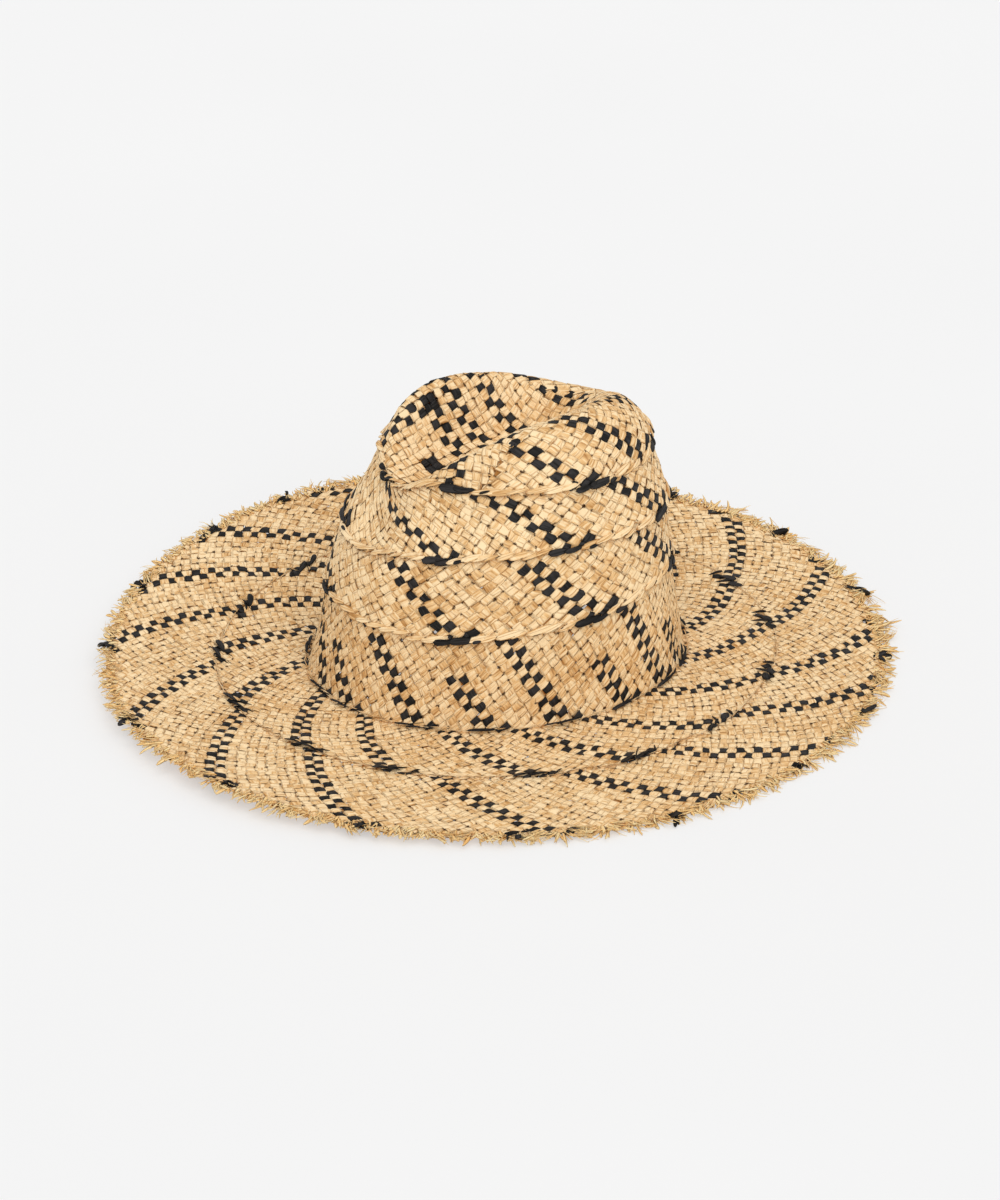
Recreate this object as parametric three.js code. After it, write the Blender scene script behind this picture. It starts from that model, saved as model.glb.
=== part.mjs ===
// A wide-brim straw hat, plaited in rounds from the tip of its crown outwards, with a frayed edge.
// Millimetres, +Z up. The front of the hat is towards -Y, and z = 0 is the surface that it rests on.
// Turns are degrees around the crown: 0 is +X, 90 is the back, 180 is -X and 270 is the front.

import * as THREE from "three";

// Driving dimensions
const WALL = 2; // thickness of the plaited straw
const SEAM_GAP = 0.36; // gap between one round and the next
const BASE_FLARE = 2; // how far the foot of the crown turns outwards
const FLARE_HEIGHT = 5; // height over which that flare fades
const BRIM_WIDTH = 104; // plaited width of the brim, from the crown to the last crossing
const INNER_ROUND_WIDTH = 48; // width of the brim's first round
const BRIM_REACH = 112; // brim and frayed ends together, as a mean
const FLAT_WIDTH = 15; // part of the brim next to the crown that lies flat all round
const FRAY_LOCKS = 120; // locks of loose ends around the edge
const FRAY_BACKING = 2.4; // width of the ring that the locks grow from
const LOCK_THICKNESS = 0.8; // thickness of a lock at its tip
const LOCK_LENGTHS = { shortest: -3, longest: 4 }; // tips of the locks, from the mean reach
const LOCK_LEAN = 0.7; // degrees that a lock leans to either side
const LOCK_RISE = { lowest: -1, highest: 1.6 }; // height of a lock's tip above the brim's face
const SCATTER = { perLock: 12.9898, perSalt: 78.233, spread: 43758.5453 }; // makes each lock's numbers differ
const SEGMENTS = 60; // steps around each round
const TIP_ROWS = 12; // steps from the tip's ridge to its middle
const ROW_STEP = 0.02; // step in rows over which the crown's slope is taken
const TURN_STEP = 1; // step in degrees over which it is taken

// Sections of the crown as it was blocked, before the creases: half width, and reach to the front and back.
const CROWN_SECTIONS = [
  { height: 0, side: 84.5, front: 102, back: 100 },
  { height: 28, side: 81.5, front: 95.5, back: 96.5 },
  { height: 58, side: 78, front: 90.5, back: 92.5 },
  { height: 86, side: 73, front: 82.5, back: 90 },
  { height: 108, side: 66, front: 73, back: 85.5 },
  { height: 133.5, side: 57, front: 63.5, back: 76 },
  { height: 147.5, side: 44, front: 54.5, back: 57 },
  { height: 149.5, side: 18, front: 20, back: 26 },
  { height: 151, side: 0, front: 0, back: 0 },
];
const TOP_ROW = CROWN_SECTIONS.length - 1;

// Folds pressed into the crown. Each moves the straw by its push, which fades out over its reach.
const CROWN_FOLDS = [
  { fold: "centre dent", at: [-6.5, -6, 0], turn: 11.5, push: [0, 0, -38], reach: [31, 60, Infinity], edge: 1.9 },
  { fold: "front pinch", at: [49, -43, 132], turn: 0, push: [-3.5, 2.5, -16], reach: [26, 30, 28], edge: 1 },
  { fold: "front slope", at: [0, -67, 130], turn: 0, push: [2, 1, -18.5], reach: [44, 32, 40], edge: 1 },
];

// The ridges at the lower edge of three rounds, as rows of CROWN_SECTIONS, at turns around the crown.
const CROWN_RIDGES = [
  { turn: 0, tip: 4.62, upper: 3.34, middle: 1.86 },
  { turn: 45, tip: 4.5, upper: 3.22, middle: 2.0 },
  { turn: 90, tip: 4.62, upper: 3.25, middle: 2.1 },
  { turn: 135, tip: 4.6, upper: 3.15, middle: 2.0 },
  { turn: 180, tip: 4.6, upper: 3.1, middle: 1.9 },
  { turn: 225, tip: 4.62, upper: 3.05, middle: 1.8 },
  { turn: 270, tip: 5.75, upper: 3.15, middle: 1.8 },
  { turn: 315, tip: 5.4, upper: 3.34, middle: 1.74 },
];

// How far the brim's edge is lifted above its flat part, at turns around the hat.
const EDGE_LIFTS = [
  { turn: 0, lift: 0.3 },
  { turn: 30, lift: 0 },
  { turn: 60, lift: 0 },
  { turn: 90, lift: 2 },
  { turn: 120, lift: 5.4 },
  { turn: 150, lift: 9 },
  { turn: 180, lift: 16.5 },
  { turn: 210, lift: 17.5 },
  { turn: 240, lift: 11 },
  { turn: 270, lift: 8.2 },
  { turn: 300, lift: 7.4 },
  { turn: 330, lift: 3 },
];

// The outside of a round, from its upper edge to the ridge at its lower edge, where the straws fold back.
const ROUND_PROFILE = [
  { across: 0, rise: 0 },
  { across: 0.3, rise: 0 },
  { across: 0.62, rise: 0 },
  { across: 0.86, rise: 0.4 },
  { across: 1, rise: 1 },
];
const RIDGE_RISE = ROUND_PROFILE[ROUND_PROFILE.length - 1].rise;

const STRAW = { color: 0xdcbb84, roughness: 0.72, metalness: 0 };
const LOOSE_STRAW = { color: 0xcfa25c, roughness: 0.78, metalness: 0 };

// The Catmull-Rom value between b and c, where t runs from 0 to 1
function blend(a, b, c, d, t) {
  const bend = 2 * a - 5 * b + 4 * c - d;
  const twist = 3 * b - a - 3 * c + d;
  return 0.5 * (2 * b + (c - a) * t + bend * t * t + twist * t * t * t);
}

// A column of CROWN_SECTIONS at any row, with the ends carried on in a straight line
function sectionValue(column, row) {
  const below = Math.min(Math.floor(row), TOP_ROW - 1);
  const value = (index) => CROWN_SECTIONS[index][column];
  const b = value(below);
  const c = value(below + 1);
  const a = below > 0 ? value(below - 1) : 2 * b - c;
  const d = below + 2 <= TOP_ROW ? value(below + 2) : 2 * c - b;
  return blend(a, b, c, d, row - below);
}

// A column of a table whose rows are evenly spaced turns of a full circle
function turnValue(table, column, turn) {
  const place = (THREE.MathUtils.euclideanModulo(turn, 360) * table.length) / 360;
  const first = Math.floor(place);
  const value = (step) => table[(first + step + table.length) % table.length][column];
  return blend(value(-1), value(0), value(1), value(2), place - first);
}

// A point of an oval whose half width is side, reaching front towards -Y and back towards +Y
function ovalPoint(turn, side, front, back, height) {
  const angle = THREE.MathUtils.degToRad(turn);
  const reach = Math.sin(angle) >= 0 ? back : front;
  return new THREE.Vector3(side * Math.cos(angle), reach * Math.sin(angle), height);
}

// How much of a fold's push a point takes
function foldShare(fold, point) {
  const angle = THREE.MathUtils.degToRad(fold.turn);
  const dx = point.x - fold.at[0];
  const dy = point.y - fold.at[1];
  const dz = point.z - fold.at[2];
  const across = (dx * Math.cos(angle) + dy * Math.sin(angle)) / fold.reach[0];
  const along = (dy * Math.cos(angle) - dx * Math.sin(angle)) / fold.reach[1];
  const up = dz / fold.reach[2];
  return Math.exp(-Math.pow(across * across + along * along + up * up, fold.edge));
}

// The outside of the crown, creased
function crownPoint(turn, row) {
  const height = sectionValue("height", row);
  const flare = BASE_FLARE * Math.exp(-height / FLARE_HEIGHT);
  const side = sectionValue("side", row) + flare;
  const front = sectionValue("front", row) + flare;
  const back = sectionValue("back", row) + flare;
  const blocked = ovalPoint(turn, side, front, back, height);
  const point = blocked.clone();
  for (const fold of CROWN_FOLDS) {
    point.addScaledVector(new THREE.Vector3(...fold.push), foldShare(fold, blocked));
  }
  return point;
}

// The direction straight out of the crown, and the direction up it that is square to a line around it.
// rowAt gives the line's row at each turn.
function crownFrame(turn, rowAt) {
  const row = Math.min(rowAt(turn), TOP_ROW - 2 * ROW_STEP);
  const low = Math.max(row - ROW_STEP, 0);
  const meridian = crownPoint(turn, row + ROW_STEP).sub(crownPoint(turn, low));
  const after = crownPoint(turn + TURN_STEP, Math.min(rowAt(turn + TURN_STEP), TOP_ROW - ROW_STEP));
  const before = crownPoint(turn - TURN_STEP, Math.min(rowAt(turn - TURN_STEP), TOP_ROW - ROW_STEP));
  const around = after.sub(before).normalize();
  const out = around.clone().cross(meridian).normalize();
  return { up: out.clone().cross(around), out };
}

// A closed body from columns of points that stand side by side around the hat. Each column is a loop, or
// for a capped body a line between two shared ends.
function bodyFromColumns(columns, capped) {
  const rows = columns[0].length;
  const positions = columns.flatMap((column) => column.flatMap((point) => [point.x, point.y, point.z]));
  const indices = [];
  const isPole = (row) => capped && (row === 0 || row === rows - 1);
  const at = (column, row) => (isPole(row) ? row : (column % columns.length) * rows + row);
  const lastRow = capped ? rows - 1 : rows;
  for (let column = 0; column < columns.length; column += 1) {
    for (let row = 0; row < lastRow; row += 1) {
      const next = (row + 1) % rows;
      if (!isPole(row)) {
        indices.push(at(column, row), at(column, next), at(column + 1, row));
      }
      if (!isPole(next)) {
        indices.push(at(column, next), at(column + 1, next), at(column + 1, row));
      }
    }
  }
  const geometry = new THREE.BufferGeometry();
  geometry.setAttribute("position", new THREE.Float32BufferAttribute(positions, 3));
  geometry.setIndex(indices);
  geometry.computeVertexNormals();
  return geometry;
}

// The turns at which the columns of a round stand
function turnsAround(count) {
  return Array.from({ length: count }, (_, index) => (index * 360) / count);
}

function namedMesh(name, geometry, finish) {
  const mesh = new THREE.Mesh(geometry, new THREE.MeshStandardMaterial(finish));
  mesh.name = name;
  return mesh;
}

// The outside and inside points of the crown's wall. The shift moves both up the wall.
function wallPoints(turn, rowAt, rise, shift) {
  const { up, out } = crownFrame(turn, rowAt);
  const skin = crownPoint(turn, rowAt(turn)).addScaledVector(up, shift);
  const outside = skin.clone().addScaledVector(out, rise);
  const inside = skin.clone().addScaledVector(out, -WALL);
  inside.z = Math.max(inside.z, 0);
  return { outside, inside };
}

// The row of a ridge at a turn, or of the foot where there is no ridge
function ridgeRow(ridge, turn) {
  return ridge ? turnValue(CROWN_RIDGES, ridge, turn) : 0;
}

// The creased tip, with the long dent and its two crests
function crownTip() {
  const columns = turnsAround(SEGMENTS).map((turn) => {
    const outside = [];
    const inside = [];
    for (let index = 0; index < TIP_ROWS; index += 1) {
      const share = index / TIP_ROWS;
      const rowAt = (t) => ridgeRow("tip", t) * (1 - share) + TOP_ROW * share;
      const atRidge = index === 0;
      const wall = wallPoints(turn, rowAt, atRidge ? RIDGE_RISE : 0, atRidge ? SEAM_GAP / 2 : 0);
      outside.push(wall.outside);
      inside.push(wall.inside);
    }
    const middle = crownPoint(turn, TOP_ROW);
    const middleInside = middle.clone().add(new THREE.Vector3(0, 0, -WALL));
    return [middle, ...outside.reverse(), ...inside, middleInside];
  });
  return namedMesh("crown_tip", bodyFromColumns(columns, true), STRAW);
}

// One round of the crown's wall, from the ridge above it down to its own ridge, or to the foot
function crownRound(name, upperRidge, lowerRidge) {
  const columns = turnsAround(SEGMENTS).map((turn) => {
    const outside = [];
    const inside = [];
    for (const { across, rise } of ROUND_PROFILE) {
      const rowAt = (t) => ridgeRow(upperRidge, t) * (1 - across) + ridgeRow(lowerRidge, t) * across;
      const fromUpper = across === 0 ? -SEAM_GAP / 2 : 0;
      const shift = across === 1 && lowerRidge ? SEAM_GAP / 2 : fromUpper;
      const wall = wallPoints(turn, rowAt, lowerRidge ? rise : 0, shift);
      outside.push(wall.outside);
      inside.push(wall.inside);
    }
    return [...outside, ...inside.reverse()];
  });
  return namedMesh(name, bodyFromColumns(columns, false), STRAW);
}

// The upper face of the brim, this far out from the foot of the crown
function brimPoint(turn, out) {
  const foot = CROWN_SECTIONS[0];
  const beyond = out + BASE_FLARE;
  const climb = Math.max(out - FLAT_WIDTH, 0) / (BRIM_REACH - FLAT_WIDTH);
  const lift = Math.max(turnValue(EDGE_LIFTS, "lift", turn), 0);
  return ovalPoint(turn, foot.side + beyond, foot.front + beyond, foot.back + beyond, WALL + lift * climb);
}

// One round of the brim, whose ridge is at its outer edge
function brimRound(name, from, to, outerRise) {
  const columns = turnsAround(SEGMENTS).map((turn) => {
    const upper = [];
    const lower = [];
    for (const { across, rise } of ROUND_PROFILE) {
      const skin = brimPoint(turn, from + (to - from) * across);
      upper.push(skin.clone().setZ(skin.z + (outerRise * rise) / RIDGE_RISE));
      lower.push(skin.clone().setZ(skin.z - WALL));
    }
    return [...upper, ...lower.reverse()];
  });
  return namedMesh(name, bodyFromColumns(columns, false), STRAW);
}

// A repeatable number for each lock, between two limits
function scatteredBetween(index, salt, low, high) {
  const wave = Math.sin(index * SCATTER.perLock + salt * SCATTER.perSalt) * SCATTER.spread;
  return low + (high - low) * (wave - Math.floor(wave));
}

// The frayed edge: a thin ring with locks that taper outwards, each with its own length, lean and rise
function brimFray() {
  const start = BRIM_WIDTH + SEAM_GAP;
  const root = start + FRAY_BACKING;
  const columns = turnsAround(FRAY_LOCKS * 2).map((turn, index) => {
    const isTip = index % 2 === 1;
    const inner = brimPoint(turn, start);
    const innerLower = inner.clone().setZ(inner.z - WALL);
    if (!isTip) {
      const outer = brimPoint(turn, root);
      return [inner, outer, outer.clone().setZ(outer.z - WALL), innerLower];
    }
    const reach = BRIM_REACH + scatteredBetween(index, 1, LOCK_LENGTHS.shortest, LOCK_LENGTHS.longest);
    const tip = brimPoint(turn + scatteredBetween(index, 2, -LOCK_LEAN, LOCK_LEAN), reach);
    const rise = scatteredBetween(index, 3, LOCK_RISE.lowest, LOCK_RISE.highest);
    tip.z = Math.max(tip.z + rise, LOCK_THICKNESS);
    return [inner, tip, tip.clone().setZ(tip.z - LOCK_THICKNESS), innerLower];
  });
  return namedMesh("brim_fray", bodyFromColumns(columns, false), LOOSE_STRAW);
}

const hat = new THREE.Group();
hat.add(crownTip());
hat.add(crownRound("crown_upper", "tip", "upper"));
hat.add(crownRound("crown_middle", "upper", "middle"));
hat.add(crownRound("crown_lower", "middle", null));
hat.add(brimRound("brim_inner", SEAM_GAP, INNER_ROUND_WIDTH - SEAM_GAP / 2, RIDGE_RISE));
hat.add(brimRound("brim_outer", INNER_ROUND_WIDTH + SEAM_GAP / 2, BRIM_WIDTH, 0));
hat.add(brimFray());

export default hat;
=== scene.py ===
# Wide-brim straw hat, plaited in rounds from the tip of the crown outwards.
# It has dyed stripes and a frayed edge.
# The tables are in millimetres and degrees of turn around the hat: 0 is +X, 90 the back, 270 the front.

import math
from functools import partial
import bpy
import numpy as np
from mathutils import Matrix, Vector


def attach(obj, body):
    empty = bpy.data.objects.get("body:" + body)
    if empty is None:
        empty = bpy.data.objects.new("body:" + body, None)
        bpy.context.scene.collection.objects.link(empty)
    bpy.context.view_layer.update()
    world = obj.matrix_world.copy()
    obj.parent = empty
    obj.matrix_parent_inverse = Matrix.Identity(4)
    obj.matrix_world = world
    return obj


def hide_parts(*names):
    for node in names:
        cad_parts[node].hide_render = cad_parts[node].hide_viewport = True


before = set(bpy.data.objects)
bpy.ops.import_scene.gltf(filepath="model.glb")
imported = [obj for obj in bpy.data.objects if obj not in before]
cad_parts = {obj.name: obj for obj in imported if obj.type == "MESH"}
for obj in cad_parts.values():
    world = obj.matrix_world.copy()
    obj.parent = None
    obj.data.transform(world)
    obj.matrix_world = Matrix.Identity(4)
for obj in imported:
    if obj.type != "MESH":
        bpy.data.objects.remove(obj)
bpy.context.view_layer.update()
millimetre = 0.001
collection = bpy.context.scene.collection


# Form of the hat, the same as the solids of the frame

crown = {
    "height": [0, 28, 58, 86, 108, 133.5, 147.5, 149.5, 151],
    "side": [84.5, 81.5, 78, 73, 66, 57, 44, 18, 0],
    "front": [102, 95.5, 90.5, 82.5, 73, 63.5, 54.5, 20, 0],
    "back": [100, 96.5, 92.5, 90, 85.5, 76, 57, 26, 0],
    "flare": 2,
    "flareHeight": 5,
}
topRow = len(crown["height"]) - 1

anyHeight = 1e9
crownFolds = {
    "centre dent": {
        "at": (-6.5, -6, 0), "turn": 11.5, "push": (0, 0, -38), "reach": (31, 60, anyHeight), "edge": 1.9,
    },
    "front pinch": {
        "at": (49, -43, 132), "turn": 0, "push": (-3.5, 2.5, -16), "reach": (26, 30, 28), "edge": 1,
    },
    "front slope": {
        "at": (0, -67, 130), "turn": 0, "push": (2, 1, -18.5), "reach": (44, 32, 40), "edge": 1,
    },
}

# Rows of the crown's ridges and of its foot, at every 45 degrees
ridgeRows = {
    "tip": [4.62, 4.5, 4.62, 4.6, 4.6, 4.62, 5.75, 5.4],
    "upper": [3.34, 3.22, 3.25, 3.15, 3.1, 3.05, 3.15, 3.34],
    "middle": [1.86, 2.0, 2.1, 2.0, 1.9, 1.8, 1.8, 1.74],
    "foot": [0, 0, 0, 0, 0, 0, 0, 0],
}

# Rows where the plait of the tip meets the ring of straws around it, at every 30 degrees
crestRows = [6.3, 6.45, 6.36, 6.1, 5.9, 5.85, 5.7, 4.6, 4.9, 5.6, 5.4, 5.2]

brim = {
    "thickness": 2,
    "flat": 15,
    "inner": 48,
    "width": 104,
    "reach": 112,
    "lifts": [0.3, 0, 0, 2, 5.4, 9, 16.5, 17.5, 11, 8.2, 7.4, 3],  # of the edge, at every 30 degrees
}


def catmull(a, b, c, d, t):
    return 0.5 * (2 * b + (c - a) * t + (2 * a - 5 * b + 4 * c - d) * t**2 + (3 * b - a - 3 * c + d) * t**3)


def sectionValue(column, row):
    values = np.array(crown[column], float)
    padded = np.concatenate([[2 * values[0] - values[1]], values, [2 * values[-1] - values[-2]]])
    below = np.clip(np.floor(row).astype(int), 0, topRow - 1)
    return catmull(*(padded[below + step] for step in range(4)), row - below)


def turnValue(values, turn):
    values = np.array(values, float)
    place = np.mod(turn, 360) * len(values) / 360
    first = np.floor(place).astype(int)
    return catmull(*(values[(first + step) % len(values)] for step in (-1, 0, 1, 2)), place - first)


def ovalPoint(turn, side, front, back, height):
    angle = np.radians(turn)
    reach = np.where(np.sin(angle) >= 0, back, front)
    return np.stack(np.broadcast_arrays(side * np.cos(angle), reach * np.sin(angle), height), -1)


def blockedPoint(turn, row):  # the crown before its creases
    height = sectionValue("height", row)
    flare = crown["flare"] * np.exp(-height / crown["flareHeight"])
    sizes = [sectionValue(name, row) + flare for name in ("side", "front", "back")]
    return ovalPoint(turn, *sizes, height)


def crownPoint(turn, row):
    blocked = blockedPoint(turn, row)
    point = blocked.copy()
    for fold in crownFolds.values():
        angle = math.radians(fold["turn"])
        away = blocked - np.array(fold["at"], float)
        across = (away[..., 0] * math.cos(angle) + away[..., 1] * math.sin(angle)) / fold["reach"][0]
        along = (away[..., 1] * math.cos(angle) - away[..., 0] * math.sin(angle)) / fold["reach"][1]
        up = away[..., 2] / fold["reach"][2]
        share = np.exp(-((across**2 + along**2 + up**2) ** fold["edge"]))
        point += share[..., None] * np.array(fold["push"], float)
    return point


def brimPoint(turn, out):
    beyond = out + crown["flare"]
    climb = np.maximum(out - brim["flat"], 0) / (brim["reach"] - brim["flat"])
    lift = np.maximum(turnValue(brim["lifts"], turn), 0)
    sizes = [crown[name][0] + beyond for name in ("side", "front", "back")]
    return ovalPoint(turn, *sizes, brim["thickness"] + lift * climb)


# Skins: smooth sheets that the straws follow. A skin's map gives each point's place in the plait.

skins = {
    "step": 1,  # degrees from column to column
    "overlap": 30,  # degrees that a skin runs past a full turn
    "rows": 36,
    "from": -0.16,  # past the ridge, as a share of the round
    "to": 1.2,
    "perMap": 100,  # millimetres in one unit of the map
    "unevenness": 0.3,
}


def outwardOf(points):
    around = np.gradient(points, axis=0)
    across = np.gradient(points, axis=1)
    outward = np.cross(around, across)
    outward /= np.linalg.norm(outward, axis=-1, keepdims=True)
    away = points + (0, 0, 200)  # from a point far below the hat
    return outward * np.sign((outward * away).sum(-1).mean())


def unevenness(points):
    x, y, z = (points[..., k] for k in range(3))
    broad = np.sin(x * 0.11 + y * 0.05 + 1.3) * np.sin(y * 0.09 - z * 0.07)
    narrow = np.sin(x * 0.21 - z * 0.17) * np.sin(y * 0.19 + 2)
    return (broad + narrow) * skins["unevenness"]


def makeSkin(name, points, mapX, mapY, keep=None):
    outward = outwardOf(points)
    points = points + outward * unevenness(points)[..., None]
    columns, rows = points.shape[:2]
    index = np.arange(columns * rows).reshape(columns, rows)
    faces = np.stack([index[:-1, :-1], index[1:, :-1], index[1:, 1:], index[:-1, 1:]], -1).reshape(-1, 4)
    if keep is not None:
        faces = faces[keep.ravel()[faces].all(axis=1)]
    mesh = bpy.data.meshes.new(name)
    mesh.from_pydata((points.reshape(-1, 3) * millimetre).tolist(), [], faces.tolist())
    layer = mesh.uv_layers.new(name="skinMap")
    places = np.stack([mapX, mapY], -1).reshape(-1, 2)[faces.ravel()]
    layer.data.foreach_set("uv", places.astype(np.float32).ravel())
    normals = mesh.attributes.new("outward", "FLOAT_VECTOR", "POINT")
    normals.data.foreach_set("vector", outward.astype(np.float32).ravel())
    skin = bpy.data.objects.new(name, mesh)
    collection.objects.link(skin)
    return skin


def ridgeRise(across):  # across runs from 0 at a round's upper edge to 1 at its ridge
    return np.interp(across, [0, 0.62, 0.86, 1, 1.05, 1.1], [0, 0, 0.4, 1, 0.4, 0])


def skinTurns():
    end = 360 + skins["overlap"] + skins["step"]
    return np.arange(-skins["overlap"], end, skins["step"], dtype=float)[:, None]


# The plait of a round. Straws of both leans run from edge to edge and pass over and under each other.
# around: straws of one lean
# rows: crossings of one straw over the height, halved
# cell: height of one row
# slope: degrees that a straw moves around on its way down
# leans: degrees that the plait is sheared by, evenly spaced around
# stripes: where each dyed pair crosses the middle of the round. Short ones start there.

rounds = {
    "crown_crest": {
        "upper": "crest", "lower": "tip", "ridgeRise": 1, "around": 50, "rows": 7, "cell": 6.8, "slope": 40,
        "leans": [8, -10, 9, -5, -5, 0, 0, 0],
        "stripes": [352, 40.5, 81, 144, 184], "shortStripes": [],
    },
    "crown_upper": {
        "upper": "tip", "lower": "upper", "ridgeRise": 1, "around": 60, "rows": 5, "cell": 6.6, "slope": 32,
        "leans": [0, 0, 0, 0, 0, 4, 36, 24],
        "stripes": [293, 356.6, 41.7, 90, 135, 180, 222], "shortStripes": [],
    },
    "crown_middle": {
        "upper": "upper", "lower": "middle", "ridgeRise": 1,
        "around": 66, "rows": 6, "cell": 6.7, "slope": 33,
        "leans": [-8, 0, 0, 0, 0, 0, 0, 0],
        "stripes": [313, 0.7, 45.7, 90, 135, 180, 222, 250], "shortStripes": [],
    },
    "crown_lower": {
        "upper": "middle", "lower": "foot", "ridgeRise": 0, "around": 92, "rows": 8, "cell": 7.3, "slope": 29,
        "leans": [-9, -13, -8, 0, 0, 0, 0, -3],
        "stripes": [307.7, 354.4, 34.9, 80, 125, 170, 215, 262],
        "shortStripes": [285.8, 338, 22.5, 57.9, 103, 148, 193, 238],
    },
    "brim_inner": {
        "from": 0.4, "to": brim["inner"] - 0.2, "ridgeRise": 0.6,
        "around": 118, "rows": 8, "cell": 5.95, "slope": 21.5,
        "leans": [0], "steps": 3,
        "stripes": [0.2, 22.5, 46.5, 69, 91, 113, 134, 156, 178, 199, 220, 241, 267, 289, 310.5, 338.8],
        "shortStripes": [],
    },
    "brim_outer": {
        "from": brim["inner"] + 0.2, "to": brim["width"], "ridgeRise": 0,
        "around": 156, "rows": 9, "cell": 6.2, "slope": 18.5,
        "leans": [0], "steps": 3,
        "stripes": [
            5, 27.4, 46.9, 66.9, 89, 112.7, 135.6, 158.5,
            181.4, 204.3, 222.1, 241.2, 267, 288.5, 312.5, 339.8,
        ],
        "shortStripes": [],
    },
}

straw = {
    "share": 1.09,  # of the pitch that a straw fills
    "dyedShare": 0.96,
    "wander": 0.5,  # sideways, in pitches
    "unevenWidth": 0.9,  # share of its width
    "tilt": 0.2,  # of the edges of each float, up and down
    "thickness": 0.36,
    "swing": 0.46,  # half the height between a straw's over and under
    "depth": 0.75,  # middle of the plait, below the skin
    "sides": 6,
    "steps": 4,  # of the mesh from crossing to crossing
    "flatness": 0.3,  # power that flattens the tube: 1 is an even slope, 0 a box
    "waveFlatness": 0.45,  # and its wave over and under
    "wideRise": 0.3,  # a broader float lies higher
    "shortest": 0.6,  # in rows; shorter runs are left out
    "search": 0.04,  # rows between the places where a run may end
    "tuckUnder": 2.2,  # millimetres that a straw runs on below the ridge above it
    "tuckOver": 0.8,  # and past its own ridge
}


def rowsBetween(plan, turns, shares):
    # rows of the crown between a round's own ridge, at 0, and the ridge above it, at 1
    lower = turnValue(ridgeRows[plan["lower"]], turns)
    if plan["upper"] == "crest":
        upper = np.maximum(turnValue(crestRows, turns), lower + 0.05)
    else:
        upper = turnValue(ridgeRows[plan["upper"]], turns)
    return lower * (1 - shares) + upper * shares


def roundSkin(name, plan):
    turns = skinTurns()
    shares = np.linspace(skins["from"], skins["to"], skins["rows"])[None, :]
    if "lower" in plan:
        points = crownPoint(turns + 0 * shares, rowsBetween(plan, turns, shares))
    else:
        points = brimPoint(turns + 0 * shares, plan["to"] + (plan["from"] - plan["to"]) * shares)
    points = points + outwardOf(points) * (ridgeRise(1 - shares) * plan["ridgeRise"])[..., None]
    steps = np.linalg.norm(np.diff(points, axis=1), axis=-1)
    climbed = np.concatenate([np.zeros((len(turns), 1)), np.cumsum(steps, axis=1)], axis=1)
    climbed -= np.stack([np.interp([0.0], shares[0], line) for line in climbed])
    heights = np.stack([np.interp([1.0], shares[0], line) for line in climbed])
    leans = turnValue(plan["leans"], turns)
    mapX = (turns + leans * (climbed / heights - 0.5)) / 360
    mapY = 1 - climbed / skins["perMap"]
    skin = makeSkin(name + "_skin", points, mapX, mapY)
    edgeX = (turns + leans * 0.5)[:, 0] / 360
    edgeY = (1 - heights / skins["perMap"])[:, 0]
    return skin, edgeX, edgeY


def strawsPerRow(plan):
    return plan["slope"] * plan["around"] / 360 / plan["rows"]


def latticeSteps(plan):
    # how far the map moves from one straw to the next, for both leans
    down = strawsPerRow(plan)
    cell = plan["cell"] / skins["perMap"]
    stepA = ((2 - down) / 2 / plan["around"], -cell / 2, 0)
    stepB = (down / 2 / plan["around"], cell / 2, 0)
    return (stepA, stepB), (0, 1 - plan["rows"] * cell, 0)


def stretches(inside):
    # first and last index of each stretch that is inside
    changes = np.nonzero(np.diff(np.concatenate([[0], inside.astype(int), [0]])))[0]
    return [(first, last - 1) for first, last in zip(changes[::2], changes[1::2])]


def straightRuns(plan, edgeX, edgeY):
    # where each straw starts and ends, counted in crossings
    (stepA, stepB), corner = latticeSteps(plan)
    lowest = plan["rows"] + straw["tuckOver"] / plan["cell"]
    levels = np.arange(lowest, -plan["rows"] - 4, -straw["search"])
    runs = []
    for family in (0, 1):
        for line in range(plan["around"]):
            crossing = line + 2 * levels if family == 0 else line - 2 * levels
            a = line if family == 0 else crossing
            b = crossing if family == 0 else line
            mapX = corner[0] + a * stepA[0] + b * stepB[0]
            mapY = corner[1] + a * stepA[1] + b * stepB[1]
            edge = np.interp(np.mod(mapX, 1), edgeX, edgeY) - straw["tuckUnder"] / skins["perMap"]
            for low, high in stretches(mapY >= edge):
                if levels[low] - levels[high] > straw["shortest"]:
                    runs.append({"family": family, "line": line, "top": levels[high], "bottom": levels[low]})
    return runs


def dyedPairs(plan):
    # the first straw of each dyed pair, and the level at which its colour starts
    half = math.floor(plan["rows"] / 2) - 0.5
    pairs = {}
    for label, level, start in (("stripes", 0.5, None), ("shortStripes", 0.75, half)):
        for turn in plan[label]:
            back = strawsPerRow(plan) * plan["rows"] * level
            pairs[round(turn / 360 * plan["around"] - back - 0.5)] = start
    return pairs


def splitByColour(plan, runs):
    # natural and dyed runs. A dyed pair folds back at the ridge, so a piece of one rising straw is dyed too.
    natural, dyed = [], []
    starts = {}
    for first, level in dyedPairs(plan).items():
        for line in (first, first + 1):
            starts[(0, line % plan["around"])] = level
        rising = math.floor(first + 1.5 + 2 * plan["rows"])
        starts[(1, rising % plan["around"])] = plan["rows"] - 1
    for run in runs:
        key = (run["family"], run["line"])
        if key not in starts:
            natural.append(run)
        elif starts[key] is None or starts[key] <= run["top"]:
            dyed.append(run)
        else:
            natural.append({**run, "bottom": starts[key]})
            dyed.append({**run, "top": starts[key]})
    return natural, dyed


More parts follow.
